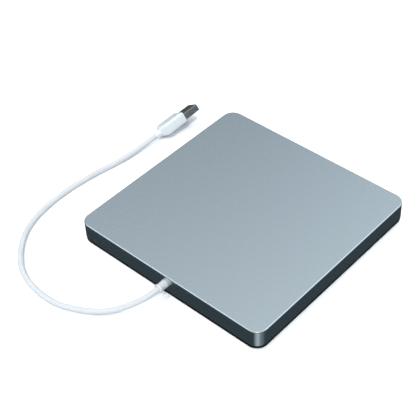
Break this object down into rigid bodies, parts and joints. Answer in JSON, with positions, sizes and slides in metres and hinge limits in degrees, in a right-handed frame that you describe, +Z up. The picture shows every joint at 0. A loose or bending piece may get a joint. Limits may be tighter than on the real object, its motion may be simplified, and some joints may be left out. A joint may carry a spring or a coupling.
{
  "type": "external optical disc drive",
  "caption": "Slim square slot-load optical disc drive with an aluminium cover, black base and short captive white cable ending in a plug.",
  "frame": {"origin": "bottom centre of the casing, on the surface that its rubber feet stand on, measured without the cable and plug", "axes": "+Z up out of the flat cover; the disc slot faces -Y; the cable leaves the rear face, +Y; +X to the right seen from the front"},
  "size_m": [0.1776, 0.1885, 0.0152],
  "materials": {
    "cover_aluminium": "bead-blasted, clear anodised",
    "base_plastic": "fine texture",
    "rubber": "matt",
    "felt": "short pile",
    "zinc_steel": "zinc plated sheet",
    "screw_steel": "black oxide",
    "shaft_steel": "ground",
    "deck_aluminium": "die cast, matt",
    "black_plastic": "moulded",
    "white_acetal": "moulded",
    "copper_coil": "enamelled winding",
    "lens_glass": "coated",
    "green_board": "solder mask",
    "chip_black": "moulded",
    "cable_white": "satin",
    "plug_white": "gloss",
    "plug_steel": "nickel plated",
    "contact_gold": "gold plated",
    "worm_brass": "turned"
  },
  "bodies": {
    "casing": {"top_cover": "cover_aluminium", "base_plate": "base_plastic", "rubber_feet": "rubber", "base_screws": "screw_steel", "slot_gasket": "felt", "drive_chassis": "zinc_steel", "drive_lid": "zinc_steel", "lid_screws": "screw_steel", "mounting_brackets": "zinc_steel", "bracket_screws": "screw_steel", "lever_posts": "shaft_steel", "slider_posts": "shaft_steel", "gear_posts": "shaft_steel", "motor_bracket": "zinc_steel", "loading_motor": "zinc_steel", "main_board": "green_board", "main_board_chips": "chip_black", "board_standoffs": "screw_steel", "drive_connector": "black_plastic", "bridge_board": "green_board", "bridge_board_chips": "chip_black", "cable_header": "white_acetal", "bridge_posts": "screw_steel", "strain_relief": "cable_white", "cable": "cable_white", "plug_boot": "plug_white", "plug_overmould": "plug_white", "plug_shell": "plug_steel", "plug_tongue": "white_acetal", "plug_contacts": "contact_gold"},
    "traverse": {"traverse_deck": "deck_aluminium", "traverse_pivot_pin": "shaft_steel", "main_guide_rail": "shaft_steel", "sub_guide_rail": "shaft_steel", "spindle_base": "zinc_steel", "stator_core": "copper_coil", "sled_motor": "zinc_steel"},
    "spindle": {"spindle_rotor": "zinc_steel", "turntable": "black_plastic", "turntable_pad": "rubber", "hub_claws": "white_acetal"},
    "pickup": {"pickup_carriage": "deck_aluminium", "follower_tooth": "white_acetal"},
    "lens": {"lens_holder": "black_plastic", "objective_lens": "lens_glass"},
    "sled_screw": {"lead_screw": "shaft_steel"},
    "slider": {"cam_slider": "white_acetal"},
    "slider_drive_gear": {"slider_gear": "white_acetal"},
    "idler": {"idler_gear": "white_acetal"},
    "worm_driven_gear": {"worm_gear": "white_acetal"},
    "worm_shaft": {"worm": "worm_brass"},
    "eject_arm": {"eject_lever": "zinc_steel"},
    "eject_arm_roller": {"eject_roller": "black_plastic"},
    "centring_arm": {"centring_lever": "zinc_steel"},
    "centring_arm_roller": {"centring_roller": "black_plastic"}
  },
  "joints": [
    {"name": "slider_travel", "type": "slide", "parent": "casing", "child": "slider", "axis": [0.682, -0.7314, 0], "range_m": [0, 0.018]},
    {"name": "traverse_tilt", "type": "hinge", "parent": "casing", "child": "traverse", "pos_m": [0.05119, 0.04394, 0.00765], "axis": [-0.682, 0.7314, 0], "range_deg": [0, 2.13]},
    {"name": "slider_gear_turn", "type": "hinge", "parent": "casing", "child": "slider_drive_gear", "pos_m": [-0.04355, -0.00612, 0.0064], "axis": [0, 0, 1], "range_deg": [-257.96, 0]},
    {"name": "idler_turn", "type": "hinge", "parent": "casing", "child": "idler", "pos_m": [-0.04634, 0.01374, 0.0064], "axis": [0, 0, 1], "range_deg": [0, 190.67]},
    {"name": "worm_gear_turn", "type": "hinge", "parent": "casing", "child": "worm_driven_gear", "pos_m": [-0.04836, 0.02816, 0.0064], "axis": [0, 0, 1], "range_deg": [-730.89, 0]},
    {"name": "worm_turn", "type": "hinge", "parent": "casing", "child": "worm_shaft", "pos_m": [-0.05682, 0.02816, 0.0074], "axis": [0, 1, 0], "range_deg": [0, 8770.64]},
    {"name": "eject_swing", "type": "hinge", "parent": "casing", "child": "eject_arm", "pos_m": [0.057, 0.049, 0.0116], "axis": [0, 0, 1], "range_deg": [-35.02, 0]},
    {"name": "centring_swing", "type": "hinge", "parent": "casing", "child": "centring_arm", "pos_m": [-0.057, 0.052, 0.0116], "axis": [0, 0, 1], "range_deg": [0, 35.02]},
    {"name": "eject_roller_spin", "type": "hinge", "parent": "eject_arm", "child": "eject_arm_roller", "pos_m": [0.03532, 0.03465, 0.01], "axis": [0, 0, 1], "continuous": true},
    {"name": "centring_roller_spin", "type": "hinge", "parent": "centring_arm", "child": "centring_arm_roller", "pos_m": [-0.04229, 0.03537, 0.01], "axis": [0, 0, 1], "continuous": true},
    {"name": "disc_spin", "type": "hinge", "parent": "traverse", "child": "spindle", "pos_m": [0.00004, -0.00377, 0.00505], "axis": [-0.0272, -0.0253, 0.9993], "continuous": true},
    {"name": "sled_travel", "type": "slide", "parent": "traverse", "child": "pickup", "axis": [0.7308, 0.6815, 0.0371], "range_m": [0, 0.033]},
    {"name": "sled_screw_turn", "type": "hinge", "parent": "traverse", "child": "sled_screw", "pos_m": [0.017, 0.03666, 0.00639], "axis": [0.7308, 0.6815, 0.0371], "range_deg": [0, 3961.98]},
    {"name": "lens_focus", "type": "slide", "parent": "pickup", "child": "lens", "axis": [-0.0272, -0.0253, 0.9993], "range_m": [-0.0003, 0.0003], "stiffness_N_per_m": 20}
  ],
  "couplings": [
    {"joint": "traverse_tilt", "follows": "slider_travel", "rad_per_m": 2.064},
    {"joint": "slider_gear_turn", "follows": "slider_travel", "rad_per_m": -250},
    {"joint": "idler_turn", "follows": "slider_travel", "rad_per_m": 184.78},
    {"joint": "worm_gear_turn", "follows": "slider_travel", "rad_per_m": -708.33},
    {"joint": "worm_turn", "follows": "slider_travel", "rad_per_m": 8500},
    {"joint": "eject_swing", "follows": "slider_travel", "rad_per_m": -33.937},
    {"joint": "centring_swing", "follows": "slider_travel", "rad_per_m": 33.937},
    {"joint": "sled_screw_turn", "follows": "sled_travel", "rad_per_m": 2094.4}
  ]
}
